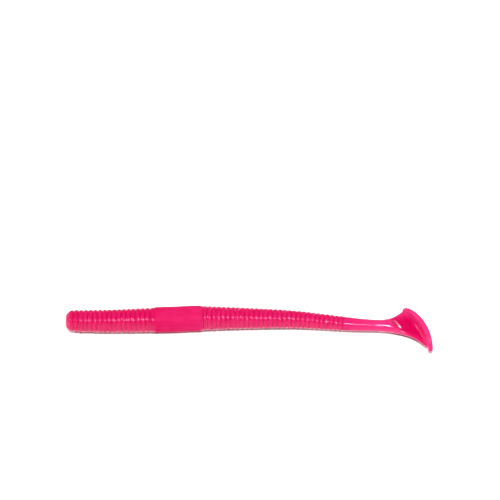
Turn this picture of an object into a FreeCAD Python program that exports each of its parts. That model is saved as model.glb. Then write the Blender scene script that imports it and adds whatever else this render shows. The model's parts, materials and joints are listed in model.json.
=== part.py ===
"""Soft plastic swimming worm: a ribbed hexagonal lure with a smooth collar, a thin stem and a boot tail.

The lure is one flexible moulding. It is divided here into its moulded regions, each a solid of its own,
so that it can bend where the soft plastic bends. It lies on a facet, +X towards the tail and +Z up. The
origin is on the collar's resting facet, near its middle. The moulding's parting plane is horizontal, at
half the collar's height, and the boot tail lies on its side in that plane.
"""
import FreeCAD, Part
import math
import os

Vec = FreeCAD.Vector
UP = Vec(0, 0, 1)

# The spine: hinge points of the bending body in the parting plane, from the nose to the boot.
NOSE_TIP = Vec(-37.65, -0.60, 0)
HEAD_BEND = Vec(-21.9, -0.70, 0)
REAR_BEND_1 = Vec(9.3, 0.40, 0)
REAR_BEND_2 = Vec(25.6, 0.36, 0)
REAR_BEND_3 = Vec(41.9, -0.10, 0)
REAR_BEND_4 = Vec(58.2, -1.68, 0)
STEM_BEND = Vec(65.5, -2.28, 0)
TAIL_KICK = Vec(71.3, -2.50, 0)

# Hexagonal body: sizes are across the flats.
COLLAR_FLATS = 8.85
COLLAR_LENGTH = 16.4
NOSE_FLATS = 7.35
FRONT_END_FLATS = 8.65
REAR_START_FLATS = 8.45
REAR_END_FLATS = 4.9
CORNER_CUT = 0.045             # share of the flats taken off each corner
MID_HEIGHT = COLLAR_FLATS / 2  # height of the parting plane above the resting facet

# Ribs.
RIB_PITCH = 1.65
FRONT_RIBS = (8, 9)            # on each side of the head's bend
REAR_RIBS = 10                 # in each of the three rear segments
RIB_DEPTH = 0.40
RIB_FOOT = 0.10                # where the flank starts and ends, as shares of the pitch
RIB_CREST = 0.25

# Nose: a small disc where the plastic entered the mould, then one rounded rib.
GATE_FLATS = 4.9
GATE_LENGTH = 0.9

# Stem.
STEM_ROOT_FLATS = 4.75
STEM_NECK_FLATS = 4.4
STEM_MID_FLATS = 4.25
STEM_WAIST_FLATS = 4.1
STEM_END_FLATS = 4.15
STEM_CORNER_CUT = 0.134        # makes the section a regular twelve-sided one

# Boot tail: a curved sole on a thin web. Angles are about the sole's centre, from +X.
SOLE_CENTRE = Vec(67.5, -13.6, 0)
SOLE_RADIUS = 21.5
SOLE_THICKNESS = 1.7
SOLE_WIDTH = 8.0
SOLE_TOE, SOLE_HEEL = 4.4, 55.2
SOLE_EDGE = 0.5
WEB_TOE, WEB_HEEL = 6.5, 55.8
WEB_THICKNESS = (4.05, 3.9, 2.9, 2.6, 2.6)   # at equal steps from the stem to the sole
WEB_AHEAD = (0, 0, 0, 0.3, 2.2)             # how far each section is pushed on, to run into the sole
WEB_HEEL_EDGE = [Vec(71.5, -0.42, 0), Vec(74.0, -0.45, 0), Vec(76.3, 0.90, 0)]
WEB_TOE_EDGE = [Vec(71.5, -4.62, 0), Vec(75.5, -5.00, 0), Vec(83.0, -6.30, 0)]

# Each bend: a round core that the plastic bends about, in a socket, with a V of clearance outside it.
BEND_GAP = 0.12                # from the hinge to each side
CORE_GAP = 0.06                # round the core
CORE_SHARE = 0.3               # the core's radius, as a share of half the flats
CORE_SHORT = 1.2               # how much shorter than the flats the core is
SIDE_RELIEF = 11.5             # degrees, each side of a body bend of 18 to 20 degrees
STEM_RELIEF = 17.0             # for the stem's bend of 30 degrees
KICK_RELIEF = 24.0             # above the kick's hinge, for 45 degrees
REACH = 12.0                   # larger than the body, for the cutting solids


def mid(point):
    """The point of the parting plane above a point of the spine."""
    return Vec(point.x, point.y, MID_HEIGHT)


def hexagon(centre, along, flats, corner):
    """A wire across the direction `along`: a hexagon lying on a facet, with its corners cut."""
    side = UP.cross(along).normalize()
    half = flats / 2 * math.tan(math.radians(30)) - corner * flats
    points = []
    for k in range(6):
        beta = math.radians(30 + 60 * k)
        out = side * math.cos(beta) + UP * math.sin(beta)
        edge = UP * math.cos(beta) - side * math.sin(beta)
        points += [centre + out * (flats / 2) + edge * (half * turn) for turn in (-1, 1)]
    return Part.makePolygon(points + points[:1])


def loft(start, end, profile, corner=CORNER_CUT):
    """A solid along start to end; profile lists (share of the way, flats)."""
    way = end - start
    along = Vec(way).normalize()
    wires = [hexagon(mid(start + way * share), along, flats, corner) for share, flats in profile]
    return Part.makeLoft(wires, True, True)


def ribs(count, first_flats, last_flats):
    """The profile of `count` ribs whose crests go from first_flats to last_flats."""
    profile = []
    for k in range(count):
        for place, depth in ((RIB_FOOT, 1), (RIB_CREST, 0), (1 - RIB_CREST, 0), (1 - RIB_FOOT, 1)):
            share = (k + place) / count
            crest = first_flats + (last_flats - first_flats) * share
            profile.append((share, crest - 2 * RIB_DEPTH * depth))
    return [(0.0, profile[0][1])] + profile + [(1.0, profile[-1][1])]


def taper(start, end, steps, k):
    """The flats at step k of `steps` equal steps from start to end."""
    return start + (end - start) * k / steps


def bend_gap(before, hinge, after, relief, axis=UP, both=True):
    """The clearance at a bend: a slot across the body, opening in a V to one or both sides of axis."""
    along = ((hinge - before).normalize() + (after - hinge).normalize()).normalize()
    out = along.cross(axis)
    spread = REACH * math.tan(math.radians(relief))
    slot, wide = along * BEND_GAP, along * (BEND_GAP + spread)
    far = wide if both else slot
    edge = out * REACH
    outline = [slot, wide + edge, edge - wide, Vec() - slot, Vec() - far - edge, far - edge, slot]
    face = Part.Face(Part.makePolygon([mid(hinge) + p - axis * REACH for p in outline]))
    return face.extrude(axis * (2 * REACH))


def core(hinge, flats, axis=UP):
    """The round core at a bend, inside the section."""
    length = flats - CORE_SHORT
    return Part.makeCylinder(CORE_SHARE * flats / 2, length, mid(hinge) - axis * (length / 2), axis)


def socket(hinge, flats, axis=UP):
    """The room for the core, right through the next region."""
    radius = CORE_SHARE * flats / 2 + CORE_GAP
    return Part.makeCylinder(radius, 2 * REACH, mid(hinge) - axis * REACH, axis)


def nose_cap(end):
    """The gate disc and the rounded first rib."""
    length = (end - NOSE_TIP).Length
    gate = GATE_LENGTH / length
    step = (1 - gate) / 4
    return loft(NOSE_TIP, end, [
        (0.0, GATE_FLATS - 0.8), (gate / 3, GATE_FLATS), (gate, GATE_FLATS),
        (gate + 0.02, NOSE_FLATS - 0.9), (gate + step, NOSE_FLATS - 0.2), (gate + 3 * step, NOSE_FLATS),
        (1.0, NOSE_FLATS - RIB_DEPTH),
    ])


def collar(start, end):
    """The smooth collar: a plain hexagonal bar with broken ends."""
    lip = 0.4 / (end - start).Length
    return loft(start, end, [
        (0.0, FRONT_END_FLATS - RIB_DEPTH), (lip, COLLAR_FLATS), (1 - 2 * lip, COLLAR_FLATS),
        (1 - lip, COLLAR_FLATS - 0.3), (1.0, REAR_START_FLATS - RIB_DEPTH),
    ])


def arc_point(radius, angle, height=MID_HEIGHT):
    """A point about the sole's centre."""
    turn = math.radians(angle)
    return SOLE_CENTRE + Vec(radius * math.cos(turn), radius * math.sin(turn), height)


def arc(radius, first, last, height):
    """A circular edge about the sole's centre."""
    angles = (first, (first + last) / 2, last)
    return Part.Arc(*[arc_point(radius, a, height) for a in angles]).toShape()


def sole():
    """The curved sole: a bent plate with round ends, trimmed to an oval outline."""
    inner, half = SOLE_RADIUS - SOLE_THICKNESS, SOLE_THICKNESS / 2
    base = MID_HEIGHT - SOLE_WIDTH / 2
    tip = math.degrees(half / SOLE_RADIUS)
    cap = [
        Part.Arc(arc_point(a, angle, base), arc_point(inner + half, angle + turn, base),
                 arc_point(b, angle, base)).toShape()
        for a, b, angle, turn in (
            (SOLE_RADIUS, inner, SOLE_HEEL, tip), (inner, SOLE_RADIUS, SOLE_TOE, -tip))
    ]
    edges = [arc(SOLE_RADIUS, SOLE_TOE, SOLE_HEEL, base), cap[0],
             arc(inner, SOLE_HEEL, SOLE_TOE, base), cap[1]]
    plate = Part.Face(Part.Wire(edges)).extrude(UP * SOLE_WIDTH)
    middle = (SOLE_TOE + SOLE_HEEL) / 2
    out = (arc_point(1, middle) - arc_point(0, middle)).normalize()
    span = inner * math.sin(math.radians((SOLE_HEEL - SOLE_TOE) / 2)) + 2 * half
    oval = Part.Ellipse(Vec(), span, SOLE_WIDTH / 2)
    oval.rotate(FreeCAD.Placement(Vec(), FreeCAD.Rotation(out.cross(UP), UP, out, "XYZ")))
    oval.translate(arc_point(inner * 0.7, middle))
    trim = Part.Face(Part.Wire(oval.toShape())).extrude(out * SOLE_RADIUS)
    plain = plate.common(trim)
    return plain.makeFillet(SOLE_EDGE, plain.Edges)


def bezier(points, share):
    """The point at `share` of the way along a cubic Bezier curve."""
    rest = 1 - share
    weights = (rest ** 3, 3 * rest ** 2 * share, 3 * rest * share ** 2, share ** 3)
    return sum((p * w for p, w in zip(points, weights)), Vec())


def web():
    """The flare from the stem to the sole: ovals between its heel edge and its toe edge."""
    inner = SOLE_RADIUS - SOLE_THICKNESS
    heel = WEB_HEEL_EDGE + [arc_point(inner, WEB_HEEL, 0)]
    toe = WEB_TOE_EDGE + [arc_point(inner, WEB_TOE, 0)]
    wires = []
    for k, (thickness, ahead) in enumerate(zip(WEB_THICKNESS, WEB_AHEAD)):
        share = k / (len(WEB_THICKNESS) - 1)
        top, low = bezier(heel, share), bezier(toe, share)
        across = (top - low).normalize()
        out = across.cross(UP)
        oval = Part.Ellipse(Vec(), (top - low).Length / 2, thickness / 2)
        oval.rotate(FreeCAD.Placement(Vec(), FreeCAD.Rotation(across, UP, out, "XYZ")))
        oval.translate(mid((top + low) / 2) + out * ahead)
        wires.append(Part.Wire(oval.toShape()))
    flare = Part.makeLoft(wires, True, False)
    inside = Part.makeCylinder(inner, 2 * REACH, SOLE_CENTRE - UP * REACH)
    return flare.common(inside)


def body_regions():
    """The regions of the bending body and stem, from the nose on, each with its solid."""
    head_way = HEAD_BEND - NOSE_TIP
    cap_end = NOSE_TIP + head_way * (1 - FRONT_RIBS[0] * RIB_PITCH / head_way.Length)
    front_way = REAR_BEND_1 - HEAD_BEND
    collar_start = REAR_BEND_1 - front_way * (COLLAR_LENGTH / front_way.Length)
    front = [taper(NOSE_FLATS, FRONT_END_FLATS, 2, k) for k in range(3)]
    rear = [taper(REAR_START_FLATS, REAR_END_FLATS, 3, k) for k in range(4)]
    return {
        "nose_cap": nose_cap(cap_end),
        "front_ribs_1": loft(cap_end, HEAD_BEND, ribs(FRONT_RIBS[0], *front[:2])),
        "front_ribs_2": loft(HEAD_BEND, collar_start, ribs(FRONT_RIBS[1], *front[1:])),
        "egg_collar": collar(collar_start, REAR_BEND_1),
        "rear_ribs_1": loft(REAR_BEND_1, REAR_BEND_2, ribs(REAR_RIBS, *rear[:2])),
        "rear_ribs_2": loft(REAR_BEND_2, REAR_BEND_3, ribs(REAR_RIBS, *rear[1:3])),
        "rear_ribs_3": loft(REAR_BEND_3, REAR_BEND_4, ribs(REAR_RIBS, *rear[2:])),
        "stem_root": loft(REAR_BEND_4, STEM_BEND, [
            (0, STEM_ROOT_FLATS - RIB_DEPTH), (0.1, STEM_ROOT_FLATS), (0.35, STEM_ROOT_FLATS - 0.1),
            (0.7, STEM_NECK_FLATS), (1, STEM_MID_FLATS)], STEM_CORNER_CUT),
        "stem_tip": loft(STEM_BEND, TAIL_KICK, [
            (0, STEM_MID_FLATS), (0.6, STEM_WAIST_FLATS), (1, STEM_END_FLATS)], STEM_CORNER_CUT),
    }


def bends():
    """(region before, region after, hinge, flats, relief, axis) for each bend, from the nose on."""
    rear = [taper(REAR_START_FLATS, REAR_END_FLATS, 3, k) for k in range(4)]
    front_mid = taper(NOSE_FLATS, FRONT_END_FLATS, 2, 1)
    return [
        ("front_ribs_1", "front_ribs_2", HEAD_BEND, front_mid, SIDE_RELIEF, UP),
        ("egg_collar", "rear_ribs_1", REAR_BEND_1, rear[0], SIDE_RELIEF, UP),
        ("rear_ribs_1", "rear_ribs_2", REAR_BEND_2, rear[1], SIDE_RELIEF, UP),
        ("rear_ribs_2", "rear_ribs_3", REAR_BEND_3, rear[2], SIDE_RELIEF, UP),
        ("rear_ribs_3", "stem_root", REAR_BEND_4, STEM_ROOT_FLATS, SIDE_RELIEF, UP),
        ("stem_root", "stem_tip", STEM_BEND, STEM_MID_FLATS, STEM_RELIEF, UP),
        ("stem_tip", "tail_web", TAIL_KICK, STEM_END_FLATS, KICK_RELIEF, Vec(0, 1, 0)),
    ]


def build():
    """Every region of the moulding, by name, with its bends cut and their cores added."""
    regions = body_regions()
    regions["tail_web"] = web()
    regions["tail_sole"] = sole()
    spine = [NOSE_TIP, HEAD_BEND, REAR_BEND_1, REAR_BEND_2, REAR_BEND_3, REAR_BEND_4, STEM_BEND,
             TAIL_KICK, (WEB_HEEL_EDGE[0] + WEB_TOE_EDGE[0]) * 0.5]
    for k, (before, after, hinge, flats, relief, axis) in enumerate(bends()):
        gap = bend_gap(spine[k], hinge, spine[k + 2], relief, axis, both=axis == UP)
        regions[before] = regions[before].cut(gap).fuse(core(hinge, flats, axis))
        regions[after] = regions[after].cut(gap).cut(socket(hinge, flats, axis))
    return regions


def main():
    os.makedirs("parts", exist_ok=True)
    for name, shape in build().items():
        solid = shape.Solids[0]
        print(name, len(shape.Solids), solid.isValid(), round(solid.Volume, 2))
        solid.exportStep("parts/" + name + ".step")


main()
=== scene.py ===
"""The looks of the soft plastic worm: one glossy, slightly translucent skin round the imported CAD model.

The skin is one surface, a row of closed rings from the nose face to the back of the boot's sole. It is cut
into pieces at the nose cap, the collar, the stem and the sole, and between the bends, so that no piece rides
on more than two bodies. Everything is in metres, in the frame of the CAD model: +X towards the tail, +Z up,
the parting plane at half the collar's height.
"""
import json
from math import cos, hypot, pi, radians, sin

import bpy
import numpy as np
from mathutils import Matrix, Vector


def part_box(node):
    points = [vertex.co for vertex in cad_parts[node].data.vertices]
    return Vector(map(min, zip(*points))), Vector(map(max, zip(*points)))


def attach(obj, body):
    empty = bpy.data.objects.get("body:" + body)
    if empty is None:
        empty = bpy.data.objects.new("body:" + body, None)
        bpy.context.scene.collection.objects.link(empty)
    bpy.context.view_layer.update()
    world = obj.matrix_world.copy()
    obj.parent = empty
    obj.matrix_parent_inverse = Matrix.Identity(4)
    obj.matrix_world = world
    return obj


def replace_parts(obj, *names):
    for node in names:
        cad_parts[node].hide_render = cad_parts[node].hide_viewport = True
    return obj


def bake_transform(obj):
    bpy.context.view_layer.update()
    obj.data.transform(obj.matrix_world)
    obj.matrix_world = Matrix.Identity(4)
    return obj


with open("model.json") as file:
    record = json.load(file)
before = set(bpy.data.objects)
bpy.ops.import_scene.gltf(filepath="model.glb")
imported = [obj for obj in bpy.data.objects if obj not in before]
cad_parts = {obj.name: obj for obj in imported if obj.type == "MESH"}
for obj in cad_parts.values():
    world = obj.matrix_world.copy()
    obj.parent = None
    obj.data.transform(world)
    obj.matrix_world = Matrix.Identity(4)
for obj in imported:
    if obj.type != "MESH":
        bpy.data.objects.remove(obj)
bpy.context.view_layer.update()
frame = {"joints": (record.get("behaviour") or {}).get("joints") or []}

MM = 0.001
AROUND = 120                   # points in a ring

# Places that come from the frame.
HINGE = {j["name"]: Vector(j["pos_m"]) for j in frame["joints"]}
COLLAR_LOW, COLLAR_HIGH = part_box("egg_collar")
MID_Z = (COLLAR_LOW.z + COLLAR_HIGH.z) / 2
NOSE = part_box("nose_cap")[0].x
NOSE_Y = sum(p.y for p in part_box("nose_cap")) / 2
SPINE = [(NOSE, NOSE_Y), (HINGE["head_bend"].x, HINGE["head_bend"].y), (0.0, 0.0)] + [
    (HINGE[name].x, HINGE[name].y) for name in (
        "rear_bend_1", "rear_bend_2", "rear_bend_3", "rear_bend_4", "stem_bend", "tail_kick")]

# Stations along the body, as X.
FIRST_GROOVE = 2.8 * MM        # behind the nose
FRONT_START = NOSE + FIRST_GROOVE
FRONT_END = COLLAR_LOW.x + 0.4 * MM
COLLAR_END = HINGE["rear_bend_1"].x - 0.4 * MM
REAR_START = HINGE["rear_bend_1"].x + 0.35 * MM
REAR_END = HINGE["rear_bend_4"].x + 0.1 * MM
STEM_END = HINGE["tail_kick"].x + 0.2 * MM
LIP = 0.1 * MM                 # the length of the step from the ribs to the collar

# Sizes across the flats. Profiles are pairs of mm behind their start and mm across the flats.
COLLAR_FLATS = COLLAR_HIGH.z - COLLAR_LOW.z
COLLAR_EASE = 0.05 * MM        # how much smaller the collar starts
COLLAR_EASE_END = 6 * MM       # before the collar's rear end, where it has its full size
NOSE_PROFILE = (
    (0, 3.8), (0.15, 4.6), (0.45, 5.4), (0.75, 5.8), (0.9, 6.2), (1.2, 6.8), (1.6, 7.25), (2.1, 7.5))
FRONT_START_FLATS = 7.7 * MM
FRONT_END_FLATS = 8.75 * MM
REAR_START_FLATS = 8.63 * MM
REAR_END_FLATS = 5.05 * MM
STEM_PROFILE = ((0.2, 4.75), (2.4, 4.65), (6.6, 4.25), (10.8, 4.05))
STEM_END_FLATS = 4.15 * MM

# How sharp the hexagon's corners are.
RIB_CORNER = 7.5
COLLAR_CORNER = 8
STEM_CORNER = 8
STEM_END_CORNER = 5            # nearly round
CORNER_CHANGE = 1 * MM         # how near to the collar's ends they change
STEM_CHANGE = (-2 * MM, 6 * MM)         # from the last rib
FLASH = 0.05 * MM              # the parting line's fine ridge

# Ribs.
FRONT_RIBS, REAR_RIBS = 17, 30
RIB_DEPTH = 0.31 * MM
LAST_GROOVE_FADE = 0.6         # share of the depth lost where the front ribs meet the collar
REAR_RIB_FADE = 0.15           # share of the depth lost at the stem
RIB_SHARPNESS = 4              # how narrow the grooves are

# Rings.
RIB_ROWS = 14                  # on each rib
NOSE_ROWS = 20                 # from the nose's edge to the flank of the first groove
SHOULDER_ROWS = 8              # from the collar to the first rear groove
LIP_ROWS = 2
PLAIN_ROW = 0.3 * MM           # distance between rings elsewhere
WEB_ROWS = 60
FILLET_ROWS = 12
RIM_ROWS = 7                   # on each half of the sole's rim
BACK_ROWS = 15
FACE_ROWS = 8

# Boot tail. Angles are about the sole's centre, from +X.
SOLE_CENTRE = Vector((67.5, -13.6)) * MM
SOLE_RADIUS = 21.65 * MM
SOLE_THICKNESS = 1.7 * MM
SOLE_HALF_WIDTH = 4.0 * MM
SOLE_TOE, SOLE_HEEL = radians(2.6), radians(56.9)
SOLE_POINT = 1.05              # above 1, the outline's ends are more pointed than an ellipse's
SOLE_RIM = 0.83 * MM           # the rim's rounding at the sides; the ends are fully round
SOLE_CROWN = 0.6 * MM
WEB_ENDS = (radians(13.5), radians(57.6))       # toe and heel, where the web's fillet starts
WEB_FACE_ENDS = (radians(6.8), radians(55.6))   # and where it reaches the sole
WEB_ROOT, WEB_HALF = 2.05 * MM, 1.3 * MM        # half its thickness at the stem and at the sole
WEB_THIN = (0.24, 0.7)         # where the web thins, as shares of the way to the sole
WEB_DISH = 0.4                 # share of the thickness that the dished middle loses
WEB_SQUARENESS = 0.3
WEB_HEEL_EDGE = [Vector(p) * MM for p in ((71.5, -0.42), (73.5, -0.35), (75.4, 0.33))]
WEB_TOE_EDGE = [Vector(p) * MM for p in ((71.5, -4.60), (75.5, -4.92), (81.5, -5.90))]
WEB_FILLET = 1.9 * MM          # how far in front of the sole its fillet starts
FILLET_RISE = 0.98             # how near to the sole's rim the fillet rises, as a share

# Where the skin is cut.
REAR_CUTS = (5, 15, 25, 30)    # ribs behind the collar
STEM_CUT = 3.6 * MM            # behind the last rib
WEB_CUT = 2.8 * MM             # behind stem_bend

# Colour. The skin's mix of two pinks also paints shade into the grooves and the web's dish, and sheen onto
# the stem, the web's edges and the sole.
DEEP_PINK = (0.43, 0.0003, 0.058)
MILKY_SHEEN_PINK = (0.57, 0.021, 0.135)
# The sole is painted at the milky end of the mix, which is painted sheen.
NOSE_MILK, SOLE_MILK_AND_SHEEN = 0.1, 1.0
GROOVE_PAINTED_SHADE = 0.3              # painted shade: how much less milky, so darker, the grooves are painted
CLOUDS = 0.12                  # how much the milkiness varies at random

# Studio.
FLOOR_SIZE = 1.2
AIM = Vector((26.0, 27.5, 4.15)) * MM
FRAME_WIDTH = 173 * MM         # what the picture spans, at the worm
CAMERA_ELEVATION, CAMERA_DISTANCE = radians(61), 1.6
SENSOR_WIDTH = 36              # of the camera, in mm
WORLD_FADE = (0.17, 0.57, 0.5, 0.1)    # sines of two elevations, and the world's strength at each
LIGHTS = (                     # name, azimuth, elevation, distance, size, power
    ("key", 0, 71, 2.0, 0.26, 58),
    ("left", -88, 44, 1.5, 0.16, 5),
    ("left_low", -99, 38, 1.5, 0.10, 5),
    ("back", 149, 31, 1.5, 0.08, 4),
    ("low_front", 0, 38, 1.5, 0.05, 1))

ANGLES = np.linspace(0, 2 * pi, AROUND, endpoint=False)
COS, SIN = np.cos(ANGLES), np.sin(ANGLES)


def smooth(x, low, high):
    """0 before low, 1 after high, and a smooth step between."""
    t = np.clip((x - low) / (high - low), 0, 1)
    return t * t * (3 - 2 * t)


def signed_power(x, power):
    return np.sign(x) * np.abs(x) ** power


def spline(points, steps=60):
    """A smooth line through the points (Catmull-Rom), as an array."""
    p = np.array(points, float)
    p = np.vstack([2 * p[0] - p[1], p, 2 * p[-1] - p[-2]])
    out = []
    for a, b, c, d in zip(p, p[1:], p[2:], p[3:]):
        for t in np.linspace(0, 1, steps, endpoint=False):
            out.append(0.5 * (2 * b + (c - a) * t + (2 * a - 5 * b + 4 * c - d) * t ** 2
                              + (3 * b - a - 3 * c + d) * t ** 3))
    return np.array(out + [p[-2]])


SPINE_LINE = spline(SPINE)


def spine_y(x):
    return np.interp(x, SPINE_LINE[:, 0], SPINE_LINE[:, 1])


def profile(start, pairs):
    """Pairs of mm behind start and mm across the flats, as pairs of X and size."""
    return [(start + behind * MM, size * MM) for behind, size in pairs]


FLATS = profile(NOSE, NOSE_PROFILE) + [
    (FRONT_START, FRONT_START_FLATS), (FRONT_END, FRONT_END_FLATS),
    (FRONT_END + LIP, COLLAR_FLATS - COLLAR_EASE), (COLLAR_END - COLLAR_EASE_END, COLLAR_FLATS),
    (COLLAR_END, COLLAR_FLATS), (REAR_START, REAR_START_FLATS), (REAR_END, REAR_END_FLATS)
] + profile(REAR_END, STEM_PROFILE) + [(STEM_END, STEM_END_FLATS)]


def groove(x):
    """Depth of the rib grooves at x, as a share of RIB_DEPTH."""
    front = (x - FRONT_START) / (FRONT_END - FRONT_START)
    rear = (x - REAR_START) / (REAR_END - REAR_START)
    half_rib = 0.5 / FRONT_RIBS
    if -half_rib < front < 1:
        fade = LAST_GROOVE_FADE * (front > 1 - half_rib)
        return abs(cos(pi * FRONT_RIBS * front)) ** RIB_SHARPNESS * (1 - fade)
    if 0 < rear < 1:
        return abs(cos(pi * REAR_RIBS * rear)) ** RIB_SHARPNESS * (1 - REAR_RIB_FADE * rear)
    return 0.0


def corner_sharpness(x):
    """The power that shapes the hexagon's corners at x."""
    collar = smooth(x, FRONT_END - CORNER_CHANGE, FRONT_END + CORNER_CHANGE)
    collar *= smooth(-x, -COLLAR_END, CORNER_CHANGE - COLLAR_END)
    power = RIB_CORNER + (COLLAR_CORNER - RIB_CORNER) * collar
    stem_start, stem_middle = (REAR_END + change for change in STEM_CHANGE)
    power += (STEM_CORNER - power) * smooth(x, stem_start, stem_middle)
    return power + (STEM_END_CORNER - power) * smooth(x, stem_middle, STEM_END)


def hexagon_ring(x):
    """The ring across the spine at x: a hexagon with soft corners, on a facet."""
    half = np.interp(x, *zip(*FLATS)) / 2 - RIB_DEPTH * groove(x)
    power = corner_sharpness(x)
    total = sum(np.maximum(0, np.cos(ANGLES - radians(30 + 60 * k))) ** power for k in range(6))
    on_parting_line = np.abs(COS) > 0.9999
    radius = half * total ** (-1 / power) + FLASH * on_parting_line * smooth(-x, -STEM_END, -REAR_END)
    step = 0.2 * MM
    slope = (spine_y(x + step) - spine_y(x - step)) / (2 * step)
    side = np.array([-slope, 1]) / hypot(1, slope)
    return np.stack([x + side[0] * radius * COS, spine_y(x) + side[1] * radius * COS,
                     MID_Z + radius * SIN], 1)


def body_stations():
    """The X of each ring from the nose to the stem's end."""
    half_rib = 0.5 * (FRONT_END - FRONT_START) / FRONT_RIBS
    collar_rows = round((COLLAR_END - FRONT_END) / PLAIN_ROW)
    stem_rows = round((STEM_END - REAR_END) / PLAIN_ROW)
    stretches = (
        (NOSE, FRONT_START - half_rib, NOSE_ROWS),
        (FRONT_START - half_rib, FRONT_START, RIB_ROWS // 2),
        (FRONT_START, FRONT_END, RIB_ROWS * FRONT_RIBS),
        (FRONT_END, FRONT_END + LIP, LIP_ROWS),
        (FRONT_END + LIP, COLLAR_END, collar_rows),
        (COLLAR_END, REAR_START, SHOULDER_ROWS),
        (REAR_START, REAR_END, RIB_ROWS * REAR_RIBS),
        (REAR_END, REAR_END + 2 * LIP, LIP_ROWS),
        (REAR_END + 2 * LIP, STEM_END, stem_rows))
    return [a + (b - a) * k / count for a, b, count in stretches for k in range(count)]


def bezier(points, t):
    p = [np.array(q) for q in points]
    u = 1 - t
    return u ** 3 * p[0] + 3 * u * u * t * p[1] + 3 * u * t * t * p[2] + t ** 3 * p[3]


def on_arc(angle, radius, height):
    """Points about the sole's centre."""
    return np.stack([SOLE_CENTRE.x + radius * np.cos(angle), SOLE_CENTRE.y + radius * np.sin(angle),
                     MID_Z + height + 0 * angle], 1)


def web_height(t):
    """Half the web's thickness round the ring, at share t of the way to the sole."""
    thin = smooth(t, *WEB_THIN)
    thick = WEB_ROOT + (WEB_HALF - WEB_ROOT) * thin
    dish = 1 - WEB_DISH * thin * (1 - COS ** 2) ** 1.5
    return thick * dish * signed_power(SIN, 1 - WEB_SQUARENESS * min(1, 1.5 * t))


def web_rings():
    """The flare from the stem to the sole: an oval that widens, thins into a dish and bows outwards."""
    face = SOLE_RADIUS - SOLE_THICKNESS
    inner = face - WEB_FILLET
    toe_end, heel_end = (SOLE_CENTRE + inner * Vector((cos(a), sin(a))) for a in WEB_ENDS)
    bow = inner * (1 - cos((WEB_ENDS[1] - WEB_ENDS[0]) / 2))
    rings = []
    for t in np.linspace(0, 1, WEB_ROWS):
        heel, toe = bezier(WEB_HEEL_EDGE + [heel_end], t), bezier(WEB_TOE_EDGE + [toe_end], t)
        middle, half = (heel + toe) / 2, (heel - toe) / 2
        out = np.array([half[1], -half[0]]) / np.linalg.norm(half)
        flat = middle + half * COS[:, None] + out * (bow * t ** 3 * (1 - COS ** 2))[:, None]
        rings.append(np.column_stack([flat, MID_Z + web_height(t)]))
    return rings + fillet_rings(face)


def fillet_rings(face):
    """The fillet from the web's end up to the sole's rim, on the sole's front face."""
    edge, rim = web_height(1), sole_ring(0, False)[:, 2] - MID_Z
    rings = []
    for turn in np.radians(np.linspace(0, 90, FILLET_ROWS + 1)[1:]):
        ahead, rise = sin(turn), 1 - cos(turn)
        toe, heel = (a + (b - a) * ahead for a, b in zip(WEB_ENDS, WEB_FACE_ENDS))
        rings.append(on_arc((toe + heel) / 2 + (heel - toe) / 2 * COS, face - WEB_FILLET * (1 - ahead),
                            edge + (FILLET_RISE * rim - edge) * rise))
    return rings


def sole_ring(turn, back):
    """The sole's outline, part of the way round its rounded rim; the ends are rounder than the sides."""
    rim = SOLE_RIM + (SOLE_THICKNESS / 2 - SOLE_RIM) * np.abs(COS) ** 6
    inset, depth = rim * (1 - sin(turn)), rim * (1 - cos(turn))
    middle, half = (SOLE_TOE + SOLE_HEEL) / 2, (SOLE_HEEL - SOLE_TOE) / 2 - inset / SOLE_RADIUS
    radius = SOLE_RADIUS - depth if back else SOLE_RADIUS - SOLE_THICKNESS + depth
    return on_arc(middle + half * COS, radius, (SOLE_HALF_WIDTH - inset) * signed_power(SIN, SOLE_POINT))


def sole_rings():
    """The sole from its front face round the rim to the crowned back."""
    turns = np.radians(np.linspace(0, 90, RIM_ROWS))
    rings = [sole_ring(turn, False) for turn in turns] + [sole_ring(turn, True) for turn in turns[::-1]]
    middle, edge = (SOLE_TOE + SOLE_HEEL) / 2, rings[-1]
    centre = on_arc(np.array([middle]), SOLE_RADIUS, 0.0)[0]
    angle = np.arctan2(edge[:, 1] - SOLE_CENTRE.y, edge[:, 0] - SOLE_CENTRE.x) - middle
    for k in np.linspace(1, 0.02, BACK_ROWS + 1)[1:]:
        rings.append(on_arc(middle + angle * k, SOLE_RADIUS + SOLE_CROWN * (1 - k * k),
                            (edge[:, 2] - centre[2]) * k))
    return rings


def nose_face():
    """Rings from the middle of the nose face to its edge."""
    rim = hexagon_ring(NOSE)
    centre = rim.mean(0)
    return [centre + (rim - centre) * k for k in np.linspace(0.02, 0.98, FACE_ROWS)]


def body_milk_and_painted_light(x):
    """How light and milky the plastic is painted at x, from 0 to 1: lighter towards the thin stem, which is
    painted sheen, and less in the grooves, which is painted shade.
    """
    # The rise from REAR_END to STEM_END is painted sheen on the thin stem.
    places = ((NOSE, NOSE_MILK), (FRONT_START, 0.25), (FRONT_END, 0.2), (COLLAR_END, 0.3),
              (REAR_END, 0.4), (REAR_END + 4 * MM, 0.75), (STEM_END, 1.0))
    return (np.interp(x, *zip(*places)) - GROOVE_PAINTED_SHADE * groove(x)) + 0 * COS


def web_painted_shade_and_sheen(t):
    """The dished middle of the web is painted deep in colour as shade; its rounded edges are painted light
    as sheen, most at the heel.
    """
    toe_edge = np.abs(COS) ** 6 * (1 - 0.6 * smooth(t, 0.45, 0.8))
    edge = np.where(COS > 0, np.abs(COS) ** 4, toe_edge)
    return 1.0 - smooth(t, 0.25, 0.6) * (1 - edge)


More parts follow.
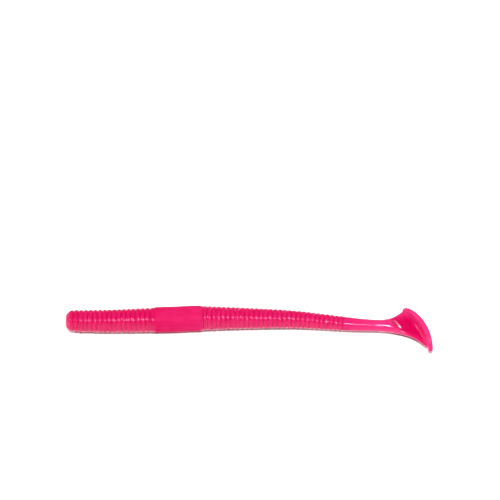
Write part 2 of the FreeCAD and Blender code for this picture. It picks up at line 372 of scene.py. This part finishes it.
def skin():
    """All the rings and how milky each point is painted, painted shade and sheen included, with the row
    number at which each stretch starts.
    """
    rings = nose_face()
    milk_and_painted_light = [NOSE_MILK + 0 * COS for _ in rings]
    stations = body_stations()
    starts = {"body": (len(rings), np.array(stations))}
    rings += [hexagon_ring(x) for x in stations]
    milk_and_painted_light += [body_milk_and_painted_light(x) for x in stations]
    rings += web_rings()
    milk_and_painted_light += [web_painted_shade_and_sheen(t) for t in np.linspace(0, 1, WEB_ROWS)]
    # The fillet is painted lighter towards the sole, as sheen.
    web_end = web_painted_shade_and_sheen(1)
    milk_and_painted_light += [web_end + (SOLE_MILK_AND_SHEEN - web_end) * k ** 3 for k in np.linspace(0, 1, FILLET_ROWS + 1)[1:]]
    starts["sole"] = len(rings)
    rings += sole_rings()
    milk_and_painted_light += [SOLE_MILK_AND_SHEEN + 0 * COS] * (len(rings) - len(milk_and_painted_light))
    return starts, np.array(rings), np.array(milk_and_painted_light)


def vertex_normals(rings):
    """The surface's normal at each point of the grid."""
    around = np.roll(rings, -1, axis=1) - np.roll(rings, 1, axis=1)
    along = np.empty_like(rings)
    along[1:-1] = rings[2:] - rings[:-2]
    along[0], along[-1] = rings[1] - rings[0], rings[-1] - rings[-2]
    n = np.cross(around, along)
    n[0], n[-1] = (-1, 0, 0), n[-2].mean(0)
    return n / np.maximum(np.linalg.norm(n, axis=2, keepdims=True), 1e-12)


def piece(name, grids, first, last, material):
    """The skin from row first to row last, as an object; grids are the points, normals and painted
    milkiness, shade and sheen.
    """
    rings, normals, milk_and_painted_light = grids
    rows = last - first + 1
    points = rings[first:last + 1].reshape(-1, 3)
    faces = [(r * AROUND + c, r * AROUND + (c + 1) % AROUND, (r + 1) * AROUND + (c + 1) % AROUND,
              (r + 1) * AROUND + c) for r in range(rows - 1) for c in range(AROUND)]
    if first == 0:
        faces.append(tuple(reversed(range(AROUND))))
    if last == len(rings) - 1:
        faces.append(tuple(range((rows - 1) * AROUND, rows * AROUND)))
    mesh = bpy.data.meshes.new(name)
    mesh.from_pydata(points.tolist(), [], faces)
    mesh.shade_smooth()
    mesh.materials.append(material)
    mesh.normals_split_custom_set_from_vertices(normals[first:last + 1].reshape(-1, 3).tolist())
    mesh.attributes.new("milk_and_painted_light", "FLOAT", "POINT").data.foreach_set("value", milk_and_painted_light[first:last + 1].ravel())
    made = bpy.data.objects.new(name, mesh)
    bpy.context.scene.collection.objects.link(made)
    return made


def plastisol(name, roughness, gloss, grain):
    """Hot-pink soft PVC: glossy, a little translucent, with a faint mould grain; its colour is painted
    lighter where thin as sheen, and darker in grooves and the web's dish as shade.
    """
    material = bpy.data.materials.new(name)
    material.use_nodes = True
    nodes, link = material.node_tree.nodes, material.node_tree.links.new
    shader = nodes["Principled BSDF"]
    shader.inputs["IOR"].default_value = 1.42
    shader.inputs["Specular IOR Level"].default_value = gloss
    shader.inputs["Specular Tint"].default_value = (1.0, 0.5, 0.7, 1)
    shader.inputs["Subsurface Weight"].default_value = 0.5
    shader.inputs["Subsurface Radius"].default_value = (1.0, 0.2, 0.3)
    shader.inputs["Subsurface Scale"].default_value = 0.9 * MM

    def noise(size, detail):
        """Noise whose features are about `size` across."""
        place = nodes.new("ShaderNodeTexCoord").outputs["Object"]
        texture = nodes.new("ShaderNodeTexNoise")
        texture.inputs["Scale"].default_value = 1 / size
        texture.inputs["Detail"].default_value = detail
        link(place, texture.inputs["Vector"])
        return texture.outputs["Fac"]

    def spread(value, low, high):
        """Noise values of 0.3 to 0.7 spread from low to high."""
        ranged = nodes.new("ShaderNodeMapRange")
        for socket, number in zip(("From Min", "From Max", "To Min", "To Max"), (0.3, 0.7, low, high)):
            ranged.inputs[socket].default_value = number
        link(value, ranged.inputs["Value"])
        return ranged.outputs["Result"]

    # The skin's attribute mixes the two pinks: painted shade towards the deep pink, painted sheen and the
    # plastic's own lighter tone towards the milky pink, with random clouds on top.
    milk_and_painted_light = nodes.new("ShaderNodeAttribute")
    milk_and_painted_light.attribute_name = "milk_and_painted_light"
    clouded = nodes.new("ShaderNodeMath")
    link(milk_and_painted_light.outputs["Fac"], clouded.inputs[0])
    link(spread(noise(2.5 * MM, 3), -CLOUDS, CLOUDS), clouded.inputs[1])
    tint = nodes.new("ShaderNodeMix")
    tint.data_type = "RGBA"
    link(clouded.outputs[0], tint.inputs["Factor"])
    tint.inputs["A"].default_value = (*DEEP_PINK, 1)
    tint.inputs["B"].default_value = (*MILKY_SHEEN_PINK, 1)
    link(tint.outputs["Result"], shader.inputs["Base Color"])
    link(spread(noise(1.2 * MM, 2), roughness * 0.8, roughness * 1.2), shader.inputs["Roughness"])
    bump = nodes.new("ShaderNodeBump")
    bump.inputs["Distance"].default_value = grain
    link(noise(0.5 * MM, 2), bump.inputs["Height"])
    link(bump.outputs["Normal"], shader.inputs["Normal"])
    return material


def floor():
    bpy.ops.mesh.primitive_plane_add(size=FLOOR_SIZE)
    plane = bpy.context.object
    plane.name = "floor"
    material = bpy.data.materials.new("floor")
    material.use_nodes = True
    shader = material.node_tree.nodes["Principled BSDF"]
    shader.inputs["Base Color"].default_value = (0.93, 0.93, 0.93, 1)
    shader.inputs["Roughness"].default_value = 0.9
    plane.data.materials.append(material)


def looking_at_aim(name, data, azimuth, elevation, distance):
    """A light or camera that looks at AIM; azimuth 0 is on the camera's side (-Y), 90 is +X."""
    back = Vector((sin(azimuth) * cos(elevation), -cos(azimuth) * cos(elevation), sin(elevation)))
    made = bpy.data.objects.new(name, data)
    made.location = AIM + back * distance
    made.rotation_mode = "QUATERNION"
    made.rotation_quaternion = back.to_track_quat("Z", "Y")
    bpy.context.scene.collection.objects.link(made)
    return made


def studio():
    """A key light over the camera, small accents round the worm, and a world pale at the horizon."""
    world = bpy.data.worlds.new("studio")
    world.use_nodes = True
    nodes, link = world.node_tree.nodes, world.node_tree.links.new
    split = nodes.new("ShaderNodeSeparateXYZ")
    link(nodes.new("ShaderNodeTexCoord").outputs["Generated"], split.inputs[0])
    fade = nodes.new("ShaderNodeMapRange")
    fade.interpolation_type = "SMOOTHSTEP"
    for socket, number in zip(("From Min", "From Max", "To Min", "To Max"), WORLD_FADE):
        fade.inputs[socket].default_value = number
    link(split.outputs["Z"], fade.inputs["Value"])
    link(fade.outputs["Result"], nodes["Background"].inputs["Strength"])
    nodes["Background"].inputs["Color"].default_value = (1, 1, 1, 1)
    bpy.context.scene.world = world
    for name, azimuth, elevation, distance, size, power in LIGHTS:
        light = bpy.data.lights.new(name, "AREA")
        light.size, light.energy = size, power
        looking_at_aim(name, light, radians(azimuth), radians(elevation), distance)
    bpy.context.scene.view_settings.view_transform = "Standard"


def camera():
    """A long lens, so that the worm is seen almost without perspective."""
    data = bpy.data.cameras.new("camera")
    made = looking_at_aim("camera", data, 0, CAMERA_ELEVATION, CAMERA_DISTANCE)
    back = Vector((0, -cos(CAMERA_ELEVATION), sin(CAMERA_ELEVATION)))
    depth = CAMERA_DISTANCE - back.dot(Vector((0, 0, MID_Z)) - AIM)
    data.sensor_width = SENSOR_WIDTH
    data.lens = data.sensor_width * depth / FRAME_WIDTH
    data.clip_start, data.clip_end = 0.01, 20
    bpy.context.scene.camera = made


def build():
    starts, rings, milk_and_painted_light = skin()
    grids = rings, vertex_normals(rings), milk_and_painted_light
    first, stations = starts["body"]
    ribs = plastisol("plastisol_ribs", roughness=0.13, gloss=0.45, grain=0.003 * MM)
    plain = plastisol("plastisol_collar", roughness=0.65, gloss=0.15, grain=0.01 * MM)
    tail = plastisol("plastisol_tail", roughness=0.13, gloss=0.33, grain=0.004 * MM)

    def row(x):
        return first + int(np.argmin(np.abs(stations - x)))

    def made(name, material, a, b, *nodes):
        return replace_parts(piece(name, grids, a, b, material), *nodes)

    rear_pitch = (REAR_END - REAR_START) / REAR_RIBS
    cap_end = row(FRONT_START)
    front_end, collar_end = row(FRONT_END), row(COLLAR_END)
    rear = [row(REAR_START + rear_pitch * k) for k in REAR_CUTS]
    stem_1, stem_2 = row(REAR_END + STEM_CUT), row(HINGE["stem_bend"].x + WEB_CUT)
    web_end, last = starts["sole"] - 1, len(rings) - 1

    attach(made("nose_cap_skin", ribs, 0, cap_end, "nose_cap"), "head")
    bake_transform(made("front_ribs_skin", ribs, cap_end, front_end, "front_ribs_1", "front_ribs_2"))
    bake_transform(made("collar_skin", plain, front_end, collar_end, "egg_collar"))
    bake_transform(made("rear_ribs_skin_1", ribs, collar_end, rear[0]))
    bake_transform(made("rear_ribs_skin_2", ribs, rear[0], rear[1], "rear_ribs_1"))
    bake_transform(made("rear_ribs_skin_3", ribs, rear[1], rear[2], "rear_ribs_2"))
    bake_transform(made("rear_ribs_skin_4", ribs, rear[2], rear[3], "rear_ribs_3"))
    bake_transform(made("stem_skin_1", tail, rear[3], stem_1, "stem_root"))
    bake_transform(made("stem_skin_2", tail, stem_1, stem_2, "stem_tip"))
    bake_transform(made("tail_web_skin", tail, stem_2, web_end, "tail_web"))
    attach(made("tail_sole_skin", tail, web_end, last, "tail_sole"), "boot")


build()
floor()
studio()
camera()
